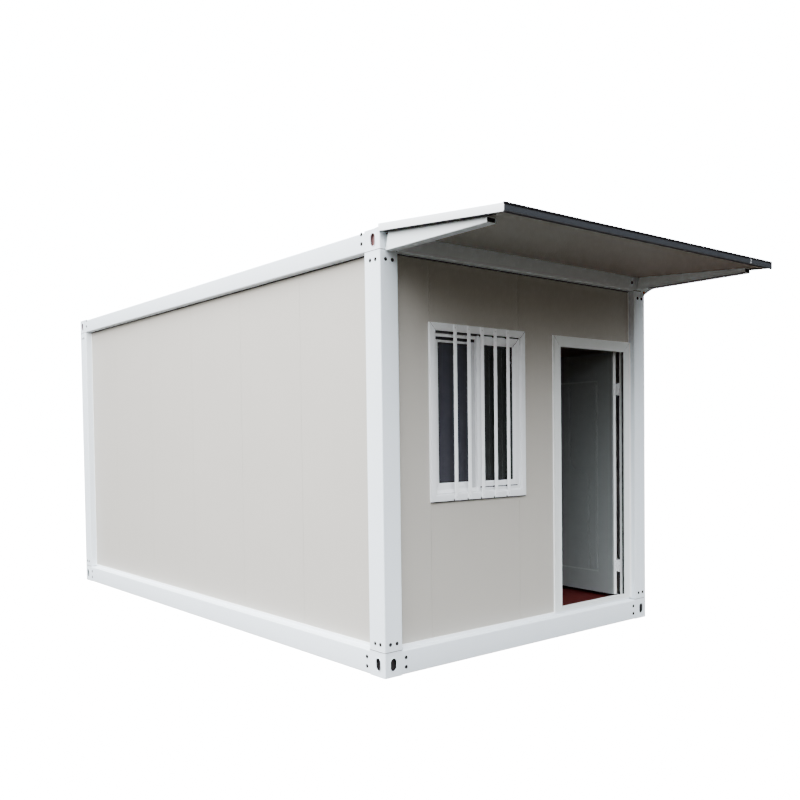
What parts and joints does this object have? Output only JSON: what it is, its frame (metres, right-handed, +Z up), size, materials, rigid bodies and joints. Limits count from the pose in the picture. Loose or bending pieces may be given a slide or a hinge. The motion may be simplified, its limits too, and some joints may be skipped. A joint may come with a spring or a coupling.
{
  "type": "container house with a front canopy",
  "caption": "Single-storey steel container house with sandwich panel walls, a barred sliding window, an inward-opening door and a sloping front canopy.",
  "frame": {"origin": "on the ground, under the middle of the box that holds the house and its canopy", "axes": "+Z up, -Y out of the front wall with its door, window and canopy, +X along the front towards the door"},
  "size_m": [2.8, 6.27, 2.818],
  "materials": {
    "bar_paint": "gloss white",
    "canopy_dark_trim": "semi-gloss blue-grey",
    "canopy_skin": "satin off-white coated steel",
    "canopy_white_trim": "satin white",
    "ceiling_skin": "matte white",
    "door_frame_paint": "satin white paint",
    "door_skin": "satin grey-white paint on pressed steel",
    "floor_covering": "dark red-brown, matte",
    "frame_paint": "satin light grey-white paint",
    "handle_metal": "brushed",
    "hinge_steel": "brushed",
    "inner_steel": "grey primer",
    "panel_skin": "satin off-white coated steel skin",
    "roof_skin": "grey-white coated steel",
    "track_paint": "satin white paint",
    "window_glass": "tinted, clear",
    "window_plastic": "white, gloss"
  },
  "bodies": {
    "root": {"canopy_arm_left": "frame_paint", "canopy_arm_right": "frame_paint", "canopy_front_trim": "canopy_dark_trim", "canopy_panel": "canopy_skin", "canopy_side_trims": "canopy_white_trim", "ceiling": "ceiling_skin", "door_frame": "door_frame_paint", "door_hinges_frame": "hinge_steel", "door_threshold": "track_paint", "floor_beam_front": "frame_paint", "floor_beam_left": "frame_paint", "floor_beam_rear": "frame_paint", "floor_beam_right": "frame_paint", "floor_board": "floor_covering", "floor_corner_castings": "frame_paint", "floor_joists": "inner_steel", "front_wall_above_window": "panel_skin", "front_wall_below_window": "panel_skin", "front_wall_left": "panel_skin", "front_wall_middle": "panel_skin", "front_wall_over_door": "panel_skin", "left_wall_panels": "panel_skin", "post_front_left": "frame_paint", "post_front_right": "frame_paint", "post_rear_left": "frame_paint", "post_rear_right": "frame_paint", "rear_wall_panels": "panel_skin", "right_wall_panels": "panel_skin", "roof_beam_front": "frame_paint", "roof_beam_left": "frame_paint", "roof_beam_rear": "frame_paint", "roof_beam_right": "frame_paint", "roof_corner_castings": "frame_paint", "roof_purlins": "inner_steel", "roof_sheet": "roof_skin", "wall_tracks": "track_paint", "window_bars": "bar_paint", "window_frame": "window_plastic", "window_pane_inner": "window_glass", "window_pane_outer": "window_glass", "window_sash_inner": "window_plastic", "window_sash_outer": "window_plastic"},
    "door": {"door_handles": "handle_metal", "door_hinges_leaf": "hinge_steel", "door_leaf": "door_skin"}
  },
  "joints": [
    {"name": "door_hinge", "type": "hinge", "parent": "root", "child": "door", "pos_m": [1.1615, -1.9655, 0.209], "axis": [0, 0, -1], "range_deg": [-93, 1.5]}
  ]
}
